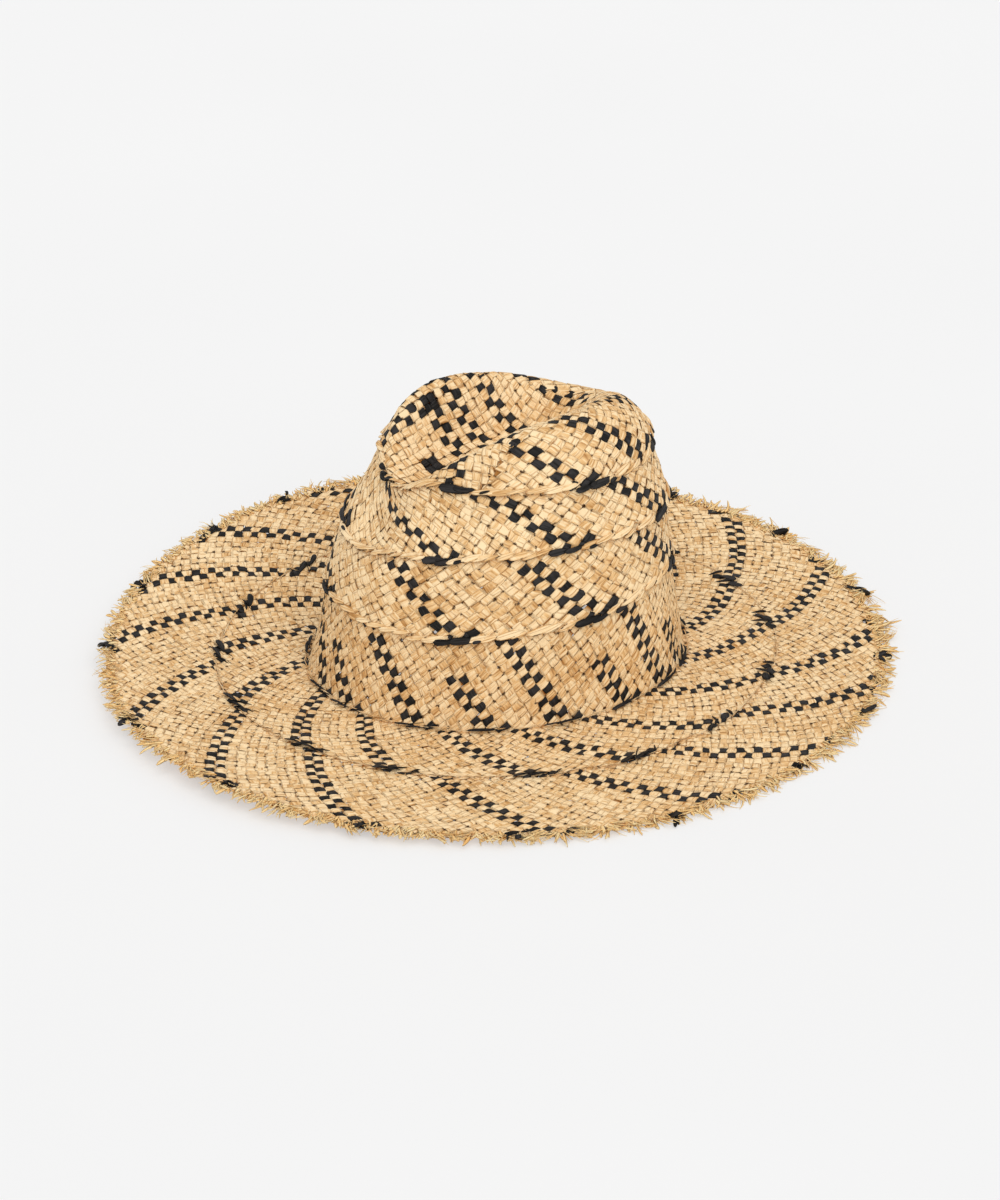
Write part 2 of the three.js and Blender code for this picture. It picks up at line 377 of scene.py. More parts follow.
def starterMesh(name, columns):
    # one vertex for each thing that the node tree makes, with what it needs to know about it
    mesh = bpy.data.meshes.new(name)
    count = len(next(iter(columns.values())))
    mesh.from_pydata([(0, 0, 0)] * count, [], [])
    for label, values in columns.items():
        mesh.attributes.new(label, "FLOAT", "POINT").data.foreach_set("value", np.array(values, np.float32))
    return mesh


def strawStarts(name, runs):
    begins, lengths = [], []
    for run in runs:
        if "ends" in run:
            ends = run["ends"]
        elif run["family"] == 0:
            ends = (run["line"] + 2 * run["top"], run["line"] + 2 * run["bottom"])
        else:
            ends = (run["line"] - 2 * run["bottom"], run["line"] - 2 * run["top"])
        begins.append(ends[0])
        lengths.append(ends[1] - ends[0])
    floats = [max(1, math.ceil(length - 0.2)) for length in lengths]
    return starterMesh(name, {
        "line": [run["line"] for run in runs],
        "family": [run["family"] for run in runs],
        "begin": begins,
        "stride": [length / count for length, count in zip(lengths, floats)],
        "floats": floats,
    })


# The middle of the tip is one square plait, pressed into the dent. Its straws keep their distance from each
# other, so it is laid over the creased crown knot by knot. A knot is a crossing, or halfway to the next one.

tip = {
    "pitch": 4.7,
    "turn": 28,  # of the straws that run down to the right
    "reach": 20,  # straws on each side of the middle
    "perMap": 200,
    "tuck": 0.12,  # rows that the straws run on past the edge
    # pairs of dyed straws: family, first straw, and the crossings where their colour starts and ends
    "stripes": [
        (0, -7, 6.5, 30), (0, -5, -6.5, 5.5), (0, -1, -12.5, -4.5), (0, 2, -15.5, 1.5), (0, 6, -30, 30),
        (0, 12, -30, 30), (1, -6, -5.5, -3.5), (1, 4, -30, -3.5), (1, -12, -30, 0.5), (1, -15, -30, 3.5),
    ],
}


def flatRadius():
    # for each row, the radius of a flat disc as large as the part of the crown above it
    rows = np.linspace(topRow, 1, 400)
    turns = np.linspace(0, 360, 181)
    rings = blockedPoint(turns[None, :], rows[:, None])
    lengths = np.linalg.norm(np.diff(rings, axis=1), axis=-1).sum(axis=1)
    slants = np.linalg.norm(np.diff(rings, axis=0), axis=-1).mean(axis=1)
    areas = np.concatenate([[0], np.cumsum(slants * (lengths[:-1] + lengths[1:]) / 2)])
    return rows, np.sqrt(areas / math.pi)


flatRows, flatRadii = flatRadius()


def placeTurn(place):
    return np.degrees(np.arctan2(place[..., 1], place[..., 0]))


def placeRow(place):
    return np.interp(np.linalg.norm(place, axis=-1), flatRadii, flatRows)


def placePoint(place):
    return crownPoint(placeTurn(place), placeRow(place))


def evenSteps(direction, step, count):
    # places in a straight line from the middle, at even steps on the creased crown
    reach = np.linspace(0, step * count * 1.6, 2000)
    points = placePoint(reach[:, None] * direction)
    lengths = np.concatenate([[0], np.cumsum(np.linalg.norm(np.diff(points, axis=0), axis=1))])
    return np.interp(np.arange(count + 1) * step, lengths, reach)[:, None] * direction


def squareKnots(first, second, step):
    # a quarter of the plait between two straws: each knot lies one step from its two neighbours
    count = len(first) - 1
    knots = np.zeros((count + 1, count + 1, 2))
    knots[:, 0] = first
    knots[0, :] = second
    nudge = 0.05
    for diagonal in range(2, 2 * count + 1):
        i = np.arange(max(1, diagonal - count), min(count, diagonal - 1) + 1)
        j = diagonal - i
        neighbours = [placePoint(knots[i - 1, j]), placePoint(knots[i, j - 1])]
        at = knots[i - 1, j] + knots[i, j - 1] - knots[i - 1, j - 1]
        for _ in range(5):
            point = placePoint(at)
            slopeX = (placePoint(at + (nudge, 0)) - point) / nudge
            slopeY = (placePoint(at + (0, nudge)) - point) / nudge
            aways = [point - neighbour for neighbour in neighbours]
            errors = [((away**2).sum(-1) - step**2) / 2 for away in aways]
            (a, b), (c, d) = [((away * slopeX).sum(-1), (away * slopeY).sum(-1)) for away in aways]
            move = np.stack([d * errors[0] - b * errors[1], a * errors[1] - c * errors[0]], -1)
            move = move / (a * d - b * c)[:, None]
            length = np.linalg.norm(move, axis=-1, keepdims=True)
            at = at - move * np.minimum(1, step / np.maximum(length, 1e-9))
        knots[i, j] = at
    return knots


def tipKnots():
    angle = math.radians(tip["turn"])
    along = np.array([math.cos(angle), math.sin(angle)])
    aside = np.array([-math.sin(angle), math.cos(angle)])
    step = tip["pitch"] / 2
    count = 2 * tip["reach"]
    knots = np.zeros((2 * count + 1, 2 * count + 1, 2))
    for signX in (1, -1):
        for signY in (1, -1):
            edges = evenSteps(along * signX, step, count), evenSteps(aside * signY, step, count)
            columns = count + signX * np.arange(count + 1)
            rows = count + signY * np.arange(count + 1)
            knots[np.ix_(columns, rows)] = squareKnots(*edges, step)
    return knots


def tipEdge(turn):
    return np.maximum(turnValue(ridgeRows["tip"], turn), turnValue(crestRows, turn))


def tipSkin(knots):
    turns, rows = placeTurn(knots), placeRow(knots)
    points = crownPoint(turns, rows)
    ridge = turnValue(ridgeRows["tip"], turns)
    inside = (rows - ridge) * 25  # about the millimetres from the ridge
    rise = np.interp(inside, [-4, -1.5, 0, 4.5, 12], [0, 0.4, 1, 0.4, 0])
    points = points + outwardOf(points) * rise[..., None]
    shares = np.linspace(-1, 1, len(knots)) * tip["reach"] * tip["pitch"] / tip["perMap"]
    mapX = 0.5 + shares[:, None] + 0 * turns
    mapY = 0.5 + shares[None, :] + 0 * turns
    return makeSkin("tip_skin", points, mapX, mapY, rows > tipEdge(turns) - 0.5)


def tipRuns(knots):
    reach = tip["reach"]
    halves = np.linspace(-reach, reach, len(knots))
    crossings = np.arange(-reach, reach, 0.05)
    natural, dyed = [], []
    for family in (0, 1):
        colours = {}
        for number, first, begin, end in tip["stripes"]:
            if number == family:
                colours[first] = colours[first + 1] = (begin, end)
        for line in range(-reach, reach + 1):
            number = 2 * (line + reach)
            strand = knots[:, number] if family == 0 else knots[number]
            place = np.stack([np.interp(crossings, halves, strand[:, k]) for k in (0, 1)], -1)
            inside = placeRow(place) > tipEdge(placeTurn(place)) - tip["tuck"]
            for low, high in stretches(inside):
                begin, end = crossings[low], crossings[high]
                start, stop = colours.get(line, (end, end))
                start, stop = np.clip([start, stop], begin, end)
                for kind, ends in ((natural, (begin, start)), (dyed, (start, stop)), (natural, (stop, end))):
                    if ends[1] - ends[0] > 0.4:
                        kind.append({"family": family, "line": line, "ends": ends})
    size = tip["pitch"] / tip["perMap"]
    return (natural, dyed), ((0, size, 0), (size, 0, 0))


# The folds along each ridge, where the straws turn back. They lie over each other like the strands of a rope.

ridgeFolds = {
    "fall": 1.3,  # from the left tip to the right one
    "tilt": 0.5,
    "thickness": 0.8,
    "perMap": 40,
    "reach": 14,  # of the skin, above and below the ridge
    "lines": 57,
    "roll": 0.5,  # height and half width of the roll under the folds
    "rollReach": 3.5,
    "sides": 6,
    "steps": 9,
    "sorts": {  # lengths in straws
        "folds": {"length": 1.8, "width": 2.8, "slant": 2.6, "raise": 0.9, "below": 1.1, "skew": 0.9},
        "dyed": {"length": 1.9, "width": 3.7, "slant": 2.3, "raise": 1.45, "below": 1.4, "skew": 0.65},
    },
    # a dyed pair makes two leaves, a prong and a small leaf
    # straws further on, and shares of length, width and slant
    "leaves": [(0, 1, 1, 1), (1, 1, 0.85, 1), (1.1, 0.7, 0.36, 2.3), (2.6, 0.5, 0.5, 1.7)],
}

ridges = {
    "tip_ridge": {
        "follows": "crown_upper", "atTop": True, "replaces": "crown_tip",
        "folds": 1, "dyed": 1, "long": 0.95, "slant": 0.4,
    },
    "upper_ridge": {
        "follows": "crown_upper", "atTop": False, "replaces": "crown_upper",
        "folds": 1, "dyed": 0.95, "long": 0.9, "slant": 0.3,
    },
    "middle_ridge": {
        "follows": "crown_middle", "atTop": False, "replaces": "crown_middle",
        "folds": 1, "dyed": 0.95, "long": 0.9, "slant": 0.2,
    },
    "foot_ridge": {
        "follows": "crown_lower", "atTop": False, "replaces": "crown_lower",
        "folds": 0.3, "dyed": 0.65, "long": 1, "slant": 1,
    },
    "brim_ridge": {
        "follows": "brim_inner", "atTop": False, "replaces": "brim_inner",
        "folds": 0.25, "dyed": 0.85, "long": 0.6, "slant": 2.2,
    },
}


def ridgeSkin(name, plan, atTop):
    # a narrow skin along a ridge, whose map has millimetres down from the ridge
    turns = skinTurns()
    down = np.linspace(-ridgeFolds["reach"], ridgeFolds["reach"], ridgeFolds["lines"])[None, :]
    if plan.get("lower") == "foot" and not atTop:
        rows = np.linspace(-0.2, 1, 60)
        row = np.interp(np.maximum(brim["thickness"] - down, 0), sectionValue("height", rows), rows)
        wall = crownPoint(turns + 0 * down, row + 0 * turns)
        ground = brimPoint(turns + 0 * down, np.maximum(down, 0) + 0 * turns)
        points = np.where((down < 0)[..., None], wall, ground)
        window = 5  # points averaged on each side, so that the wall runs into the brim
        padded = np.pad(points, ((0, 0), (window, window), (0, 0)), mode="reflect", reflect_type="odd")
        points = sum(padded[:, k:k + down.size] for k in range(2 * window + 1)) / (2 * window + 1)
    elif "lower" in plan:
        ridge = turnValue(ridgeRows[plan["upper" if atTop else "lower"]], turns)
        above, below = (crownPoint(turns, ridge + step) for step in (0.05, -0.05))
        speed = np.linalg.norm(above - below, axis=-1) / 0.1
        points = crownPoint(turns + 0 * down, ridge - down / speed)
    else:
        points = brimPoint(turns + 0 * down, plan["to"] + down)
    roll = np.exp(-((down / ridgeFolds["rollReach"]) ** 2)) * ridgeFolds["roll"]
    points = points + outwardOf(points) * roll[..., None]
    leans = turnValue(plan["leans"], turns)
    mapX = (turns + leans * (0.5 if atTop else -0.5)) / 360 + 0 * down
    mapY = 0.5 + down / ridgeFolds["perMap"] + 0 * turns
    return makeSkin(name, points, mapX, mapY)


def foldStarts(plan, atTop):
    # places of the natural and the dyed folds, counted in straws around the ridge
    around = plan["around"]
    shift = -2.4 if atTop else strawsPerRow(plan) * plan["rows"] - 1.2
    pairs = {round(first + shift) % around for first in dyedPairs(plan)}
    taken = pairs | {(pair + 1) % around for pair in pairs}
    folds = [(spot, 1, 1, 1) for spot in range(around) if spot not in taken]
    dyed = [(pair + on, *shares) for pair in sorted(pairs) for on, *shares in ridgeFolds["leaves"]]
    labels = ("spot", "long", "wide", "steep")
    return {kind: dict(zip(labels, zip(*rows))) for kind, rows in (("folds", folds), ("dyed", dyed))}


# Node trees

def socketOf(sockets, key):
    if isinstance(key, int):
        return sockets[key]
    for socket in sockets:
        if socket.identifier == key:
            return socket
    return sockets[key]


def addNode(tree, kind, values=None, **settings):
    node = tree.nodes.new(kind)
    for name, value in settings.items():
        setattr(node, name, value)
    for key, value in (values or {}).items():
        socket = socketOf(node.inputs, key)
        if isinstance(value, bpy.types.NodeSocket):
            tree.links.new(value, socket)
        else:
            socket.default_value = value
    return node


def calc(tree, operation, *values):
    # sums and products take any number of values
    while len(values) > 2 and operation in ("ADD", "MULTIPLY"):
        values = (calc(tree, operation, *values[:2]), *values[2:])
    return addNode(tree, "ShaderNodeMath", dict(enumerate(values)), operation=operation).outputs[0]


def mathOf(tree, operations):
    return (partial(calc, tree, operation) for operation in operations.split())


def signedPower(tree, value, exponent):
    size = calc(tree, "POWER", calc(tree, "ABSOLUTE", value), exponent)
    return calc(tree, "MULTIPLY", calc(tree, "SIGN", value), size)


def wrapped(tree, value):
    return calc(tree, "SUBTRACT", value, calc(tree, "FLOOR", value))


def vectorCalc(tree, operation, *values):
    node = addNode(tree, "ShaderNodeVectorMath", dict(enumerate(values)), operation=operation)
    return node.outputs["Value" if operation in ("DOT_PRODUCT", "LENGTH") else "Vector"]


def scaled(tree, vector, factor):
    node = addNode(tree, "ShaderNodeVectorMath", {0: vector, "Scale": factor}, operation="SCALE")
    return node.outputs["Vector"]


def combined(tree, x, y, z=0.0):
    return addNode(tree, "ShaderNodeCombineXYZ", {0: x, 1: y, 2: z}).outputs[0]


def separated(tree, vector):
    return addNode(tree, "ShaderNodeSeparateXYZ", {0: vector}).outputs


def between(tree, factor, first, second):
    values = {"Factor_Float": factor, "A_Float": first, "B_Float": second}
    node = addNode(tree, "ShaderNodeMix", values, data_type="FLOAT", clamp_factor=False)
    return socketOf(node.outputs, "Result_Float")


def read(tree, name, kind="FLOAT"):
    node = addNode(tree, "GeometryNodeInputNamedAttribute", {"Name": name}, data_type=kind)
    return node.outputs["Attribute"]


def readAll(tree, names):
    return (read(tree, name) for name in names.split())


def store(tree, geometry, name, value, kind="FLOAT", domain="POINT"):
    values = {"Geometry": geometry, "Name": name, "Value": value}
    node = addNode(tree, "GeometryNodeStoreNamedAttribute", values, data_type=kind, domain=domain)
    return node.outputs["Geometry"]


def randomBetween(tree, low, high, identity, seed):
    values = {"Min_001": low, "Max_001": high, "ID": identity, "Seed": seed}
    node = addNode(tree, "FunctionNodeRandomValue", values, data_type="FLOAT")
    return socketOf(node.outputs, "Value_001")


def storeRandoms(tree, points, identity, seed, ranges):
    # a random number of each kind for every point, the same on each run
    for number, (label, limits) in enumerate(ranges.items()):
        value = randomBetween(tree, *limits, identity, calc(tree, "ADD", seed, float(number)))
        points = store(tree, points, label, value)
    return points


def noiseAt(tree, vector, scale, detail=0.0):
    values = {"Vector": vector, "Scale": scale, "Detail": detail}
    node = addNode(tree, "ShaderNodeTexNoise", values, noise_dimensions="3D")
    return calc(tree, "SUBTRACT", node.outputs[0], 0.5)


def addSockets(tree, direction, sockets):
    for kind, labels in sockets.items():
        for label in labels:
            tree.interface.new_socket(label, in_out=direction, socket_type="NodeSocket" + kind)


def newTree(name, *sizes):
    tree = bpy.data.node_groups.new(name, "GeometryNodeTree")
    addSockets(tree, "OUTPUT", {"Geometry": ["Geometry"]})
    addSockets(tree, "INPUT", {"Geometry": ["Geometry"], "Object": ["Skin"], "Float": (*sizes, "Floor")})
    addSockets(tree, "INPUT", {"Int": ["Seed"], "Material": ["Material"]})
    return tree, tree.nodes.new("NodeGroupInput").outputs


def tubeOnPoints(tree, points, sides, steps):
    # a plain tube on every point. It knows its own roundX, roundY and along, and is shaped afterwards.
    values = {"Vertices": sides, "Side Segments": steps, "Radius": 1.0, "Depth": 1.0}
    tube = addNode(tree, "GeometryNodeMeshCylinder", values, fill_type="NONE").outputs["Mesh"]
    parts = separated(tree, addNode(tree, "GeometryNodeInputPosition").outputs[0])
    tube = store(tree, tube, "roundX", parts[0])
    tube = store(tree, tube, "roundY", parts[1])
    tube = store(tree, tube, "along", calc(tree, "ADD", parts[2], 0.5))
    tubes = addNode(tree, "GeometryNodeInstanceOnPoints", {"Points": points, "Instance": tube})
    return addNode(tree, "GeometryNodeRealizeInstances", {"Geometry": tubes.outputs[0]}).outputs[0]


def onSkin(tree, skin, place):
    # the skin's point at this place on its map, the direction out of it, and whether the map has that place
    sheet = addNode(tree, "GeometryNodeObjectInfo", {"Object": skin}, transform_space="ORIGINAL")
    sheet = sheet.outputs["Geometry"]
    mapping = read(tree, "skinMap", "FLOAT_VECTOR")
    position = addNode(tree, "GeometryNodeInputPosition").outputs[0]
    found = []
    for value in (position, read(tree, "outward", "FLOAT_VECTOR")):
        values = {"Mesh": sheet, "Value": value, "Source UV Map": mapping, "Sample UV": place}
        node = addNode(tree, "GeometryNodeSampleUVSurface", values, data_type="FLOAT_VECTOR")
        found.append(node.outputs["Value"])
    return found[0], vectorCalc(tree, "NORMALIZE", found[1]), node.outputs["Is Valid"]


def placeOnSkin(tree, geometry, skin, place, height, floor):
    # moves every vertex to its place on the skin, at its height and never below the floor
    ground, outward, isOnMap = onSkin(tree, skin, place)
    # a straw that runs past the end of the map is cut off there
    values = {"Geometry": geometry, "Selection": calc(tree, "SUBTRACT", 1.0, isOnMap)}
    geometry = addNode(tree, "GeometryNodeDeleteGeometry", values, domain="POINT").outputs[0]
    target = separated(tree, vectorCalc(tree, "ADD", ground, scaled(tree, outward, height)))
    target = combined(tree, target[0], target[1], calc(tree, "MAXIMUM", target[2], floor))
    return addNode(tree, "GeometryNodeSetPosition", {"Geometry": geometry, "Position": target}).outputs[0]


def finishTree(tree, geometry, across, along, material):
    # across and along are the straw's own map, for its material
    place = combined(tree, calc(tree, "ADD", calc(tree, "MULTIPLY", across, 0.5), 0.5), along)
    geometry = store(tree, geometry, "strawMap", place, "FLOAT2", "CORNER")
    values = {"Geometry": geometry, "Distance": 0.01 * millimetre}
    geometry = addNode(tree, "GeometryNodeMergeByDistance", values).outputs[0]
    geometry = addNode(tree, "GeometryNodeSetShadeSmooth", {"Geometry": geometry}).outputs[0]
    # the edges of the flat upper and lower faces stay sharp
    corner = calc(tree, "COMPARE", calc(tree, "ABSOLUTE", read(tree, "roundX")), 0.5, 0.05)
    level = calc(tree, "GREATER_THAN", calc(tree, "ABSOLUTE", read(tree, "roundY")), 0.8)
    values = {"Geometry": geometry, "Selection": calc(tree, "MULTIPLY", corner, level), "Shade Smooth": False}
    geometry = addNode(tree, "GeometryNodeSetShadeSmooth", values, domain="EDGE").outputs[0]
    painted = addNode(tree, "GeometryNodeSetMaterial", {"Geometry": geometry, "Material": material})
    tree.links.new(painted.outputs[0], tree.nodes.new("NodeGroupOutput").inputs[0])
    return tree


def plaitTree():
    # Straws that pass over and under each other. Every starting point is one straw.
    tree, given = newTree(
        "plaited_straws", "Share", "Wander", "Uneven Width", "Tilt", "Thickness", "Swing", "Depth", "Wrap",
    )
    addSockets(tree, "INPUT", {"Vector": ["Step A", "Step B", "Corner"], "Int": ["Steps"]})
    add, minus, times = mathOf(tree, "ADD SUBTRACT MULTIPLY")
    line, family, begin, stride, floats, number, along, roundX, roundY = readAll(
        tree, "line family begin stride floats number along roundX roundY",
    )
    values = {"Geometry": given["Geometry"], "Amount": floats}
    copies = addNode(tree, "GeometryNodeDuplicateElements", values, domain="POINT").outputs
    points = store(tree, copies["Geometry"], "number", copies["Duplicate Index"])
    body = tubeOnPoints(tree, points, straw["sides"], given["Steps"])
    done = add(number, along)
    crossing = add(begin, times(done, stride))
    wave = calc(tree, "COSINE", times(minus(crossing, line), math.pi))
    wave = times(wave, minus(1.0, times(family, 2.0)))
    isAfter = calc(tree, "GREATER_THAN", done, 0.001)
    isBefore = calc(tree, "LESS_THAN", done, minus(floats, 0.001))
    # lift is the straw's over and under; the straw material also paints shade from it where the straw dives
    body = store(tree, body, "lift", signedPower(tree, wave, straw["waveFlatness"]))
    body = store(tree, body, "body", times(isAfter, isBefore))  # the ends close to a point
    body = store(tree, body, "crossing", crossing)
    crossing, lift, isInside = readAll(tree, "crossing lift body")

    # each straw wanders and changes its width as it goes, and each float has its own tilt
    strawNumber = add(line, times(family, 500.0))  # more than a round has of one lean
    floatNumber = add(times(strawNumber, 97.0), calc(tree, "ROUND", crossing))
    spot = combined(tree, times(strawNumber, 3.7), times(crossing, 0.55), times(given["Seed"], 1.9))
    wander = times(noiseAt(tree, spot, 1.0), given["Wander"])
    apart = vectorCalc(tree, "ADD", spot, (7.3, 2.1, 5.5))
    spread = times(noiseAt(tree, apart, 1.3), given["Uneven Width"])
    tilt = times(randomBetween(tree, -1.0, 1.0, floatNumber, given["Seed"]), given["Tilt"])

    flat = signedPower(tree, roundX, straw["flatness"])
    side = times(flat, isInside, given["Share"], add(1.0, spread), 0.5)
    beside = add(line, side, wander)
    placeA = scaled(tree, given["Step A"], between(tree, family, beside, crossing))
    placeB = scaled(tree, given["Step B"], between(tree, family, crossing, beside))
    place = vectorCalc(tree, "ADD", given["Corner"], vectorCalc(tree, "ADD", placeA, placeB))
    parts = separated(tree, place)
    turns = times(calc(tree, "FLOOR", parts[0]), given["Wrap"])
    rise = times(roundY, isInside, given["Thickness"], 0.577)
    rise = add(rise, times(lift, given["Swing"]), times(flat, tilt))
    rise = minus(add(rise, times(spread, straw["wideRise"] * millimetre)), given["Depth"])
    place = combined(tree, minus(parts[0], turns), parts[1])
    body = placeOnSkin(tree, body, given["Skin"], place, rise, given["Floor"])
    body = store(tree, body, "strawTone", randomBetween(tree, 0.0, 1.0, strawNumber, given["Seed"]))
    body = store(tree, body, "floatTone", randomBetween(tree, 0.0, 1.0, floatNumber, given["Seed"]))
    return finishTree(tree, body, flat, crossing, given["Material"])


def foldTree():
    # Almond-shaped folds in a row along a ridge. Every starting point is the left tip of one fold.
    tree, given = newTree(
        "ridge_folds", "Around", "Length", "Width", "Slant", "Below", "Skew", "Raise", "Fall", "Tilt",
        "Thickness", "Per Map",
    )
    add, minus, times, over, power, larger = mathOf(tree, "ADD SUBTRACT MULTIPLY DIVIDE POWER MAXIMUM")
    spot, long, wide, steep, size, aside, higher, tone, t, roundX, roundY = readAll(
        tree, "spot long wide steep size aside higher strawTone along roundX roundY",
    )
    identity = times(spot, 10.0)
    points = storeRandoms(tree, given["Geometry"], identity, given["Seed"], {
        "size": (0.7, 1.3), "aside": (-0.0009, 0.0009), "higher": (-0.0004, 0.0003), "strawTone": (0.0, 1.0),
    })
    body = tubeOnPoints(tree, points, ridgeFolds["sides"], ridgeFolds["steps"])
    flat = signedPower(tree, roundX, 0.5)
    skewed = power(t, given["Skew"])  # broader towards its left tip
    almond = larger(times(skewed, 4.0, minus(1.0, skewed)), 0.0)
    almond = power(almond, 0.62)
    across = times(flat, almond, size, given["Width"], wide, 0.5)
    below = minus(given["Below"], times(given["Slant"], steep, t))
    across = add(across, below, aside)
    reach = add(spot, times(t, given["Length"], long, size))
    mapX = wrapped(tree, over(reach, given["Around"]))
    mapY = add(0.5, over(across, given["Per Map"]))
    dome = times(calc(tree, "SINE", times(t, math.pi)), 0.0005)
    tilt = times(flat, almond, given["Tilt"])
    thick = times(roundY, given["Thickness"], add(0.15, times(almond, 0.5)))
    rise = add(minus(given["Raise"], times(given["Fall"], t)), dome, tilt, thick, higher)
    body = placeOnSkin(tree, body, given["Skin"], combined(tree, mapX, mapY), rise, given["Floor"])
    body = store(tree, body, "floatTone", wrapped(tree, times(tone, 7.0)))
    # painted shade: the lift stored here moves nothing; it darkens the fold towards its two tips and along
    # its lower edge, over the round below
    undersideShade = power(larger(flat, 0.0), 4.0)
    body = store(tree, body, "lift", minus(minus(times(almond, 1.9), 0.9), undersideShade))
    return finishTree(tree, body, flat, times(t, 2.5), given["Material"])


# The frayed edge: short, flat, curling ends of straw past the last crossing of the brim

fray = {
    "from": 99.5,
    "to": 106,
    "thickness": 0.2,
    "fullness": [1, 1.2, 1.2, 1.05, 0.9, 0.8, 0.95, 1],  # of the ends, at every 45 degrees
    "girth": 1.25,  # of the brim, in metres
    "sides": 4,
    "steps": 6,
    "sorts": {
        "ends": {
            "count": 3800, "shortest": 3.2, "longest": 8.4, "breadth": 0.85,
            "lean": 0.6, "lock": 3.6, "raise": 0,
        },
        "dyed_ends": {
            "count": 6, "shortest": 4, "longest": 7, "breadth": 2,
            "lean": 0.9, "lock": 1.5, "raise": 0.9,
        },
    },
    "dyedTurns": [6, 29, 48, 66, 88, 110, 132, 152, 176, 198, 213, 233, 252, 276, 301, 322, 344],
    "skinFrom": 84,
    "skinTo": 134,
}


def fraySkin():
    turns = skinTurns()
    out = np.linspace(fray["skinFrom"], fray["skinTo"], 40)[None, :]
    points = brimPoint(turns + 0 * out, out + 0 * turns)
    mapX = turns / 360 + 0 * out
    mapY = (out - fray["skinFrom"]) / (fray["skinTo"] - fray["skinFrom"]) + 0 * turns
    return makeSkin("fray_skin", points, mapX, mapY)


def frayTree():
    # Loose ends. Every starting point is the root of one end, and random numbers give it its own curl.
    tree, given = newTree(
        "frayed_ends", "From", "To", "Shortest", "Longest", "Breadth", "Thickness", "Girth", "Skin From",
        "Skin Width", "Lean", "Lock", "Raise",
    )
    add, minus, times, over, sine, cosine = mathOf(tree, "ADD SUBTRACT MULTIPLY DIVIDE SINE COSINE")
    spot, fullness, t, roundX, roundY = readAll(tree, "spot fullness along roundX roundY")
    root, length, lean, lock, curl, bend, climb, wide, twist, sink = readAll(
        tree, "root length lean lock curl bend climb wide twist sink",
    )
    identity = addNode(tree, "GeometryNodeInputIndex").outputs[0]
    points = storeRandoms(tree, given["Geometry"], identity, given["Seed"], {
        "root": (given["From"], given["To"]), "length": (given["Shortest"], given["Longest"]),
        "lean": (-1.0, 1.0), "curl": (-0.7, 0.7), "bend": (-0.7, 0.7), "climb": (-0.15, 0.25),
        "wide": (0.3, 1.3), "twist": (-0.8, 0.8), "sink": (-0.0011, 0.0005),
        "strawTone": (0.0, 1.0), "floatTone": (0.0, 1.0),
    })
    # neighbours hang together in locks, which share their lean and their length
    sway = noiseAt(tree, combined(tree, times(spot, 105.0), given["Seed"]), 1.0)
    tufts = noiseAt(tree, combined(tree, times(spot, 150.0), add(given["Seed"], 8.0)), 1.0)
    points = store(tree, points, "lock", times(sway, given["Lock"]))
    points = store(tree, points, "length", times(length, fullness, add(1.0, times(tufts, 1.8))))
    body = tubeOnPoints(tree, points, fray["sides"], fray["steps"])

    angle = add(times(lean, given["Lean"]), lock)
    squared = times(t, t)
    taper = calc(tree, "POWER", minus(1.0, times(squared, squared, 0.9)), 0.5)  # blunt tips
    half = times(given["Breadth"], wide, taper, roundX)
    turn = add(times(twist, t), times(bend, 0.7))
    curled = times(squared, calc(tree, "ABSOLUTE", curl), 0.3)
    outPart = times(length, minus(times(t, cosine(angle)), curled))
    bow = add(curl, lock)
    sidePart = times(length, add(times(t, sine(angle)), times(squared, bow, 0.7)))
    sidePart = add(sidePart, times(half, cosine(turn)))
    arch = times(squared, minus(bend, 0.2), 0.35)
    upPart = times(length, add(times(t, climb), arch))
    thick = times(roundY, given["Thickness"], taper)
    upPart = add(upPart, times(half, sine(turn)), sink, given["Raise"], thick)
    mapX = wrapped(tree, add(spot, over(sidePart, given["Girth"])))
    outPart = minus(add(root, outPart), given["Skin From"])
    place = combined(tree, mapX, over(outPart, given["Skin Width"]))
    floor = add(given["Floor"], times(roundY, 0.0001))
    body = placeOnSkin(tree, body, given["Skin"], place, upPart, floor)
    # painted shade: the lift stored here moves nothing; it darkens each end towards its root, where it goes
    # in among the weave
    body = store(tree, body, "lift", minus(times(t, 2.2), 0.3))
    return finishTree(tree, body, roundX, times(t, 2.0), given["Material"])


keptAttributes = (
    "lift", "strawTone", "floatTone", "strawMap", "position", "sharp_face", "sharp_edge", "material_index",
)


def growPiece(name, starter, tree, values):
    # runs the node tree on the starting points and keeps the result as a plain mesh
    piece = bpy.data.objects.new(name, starter)
    collection.objects.link(piece)
    modifier = piece.modifiers.new("grow", "NODES")
    modifier.node_group = tree
    sockets = {item.name: item.identifier for item in tree.interface.items_tree if item.in_out == "INPUT"}
    for label, value in values.items():
        modifier[sockets[label]] = value
    graph = bpy.context.evaluated_depsgraph_get()
    final = piece.evaluated_get(graph)
    grown = bpy.data.meshes.new_from_object(final, preserve_all_data_layers=True, depsgraph=graph)
    piece.modifiers.remove(modifier)
    piece.data = grown
    grown.name = name
    for attribute in list(grown.attributes):
        if attribute.name not in keptAttributes and not attribute.name.startswith("."):
            grown.attributes.remove(attribute)
    print(f"  {name}: {sum(len(p.vertices) - 2 for p in grown.polygons)} triangles")
    return piece


def sized(table, labels, scale=millimetre):
    # values of a table as inputs of a node tree
    return {label.title(): float(table[label] * scale) for label in labels.split()}


def keepPiece(piece, node):
    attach(piece, "root")
    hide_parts(node)
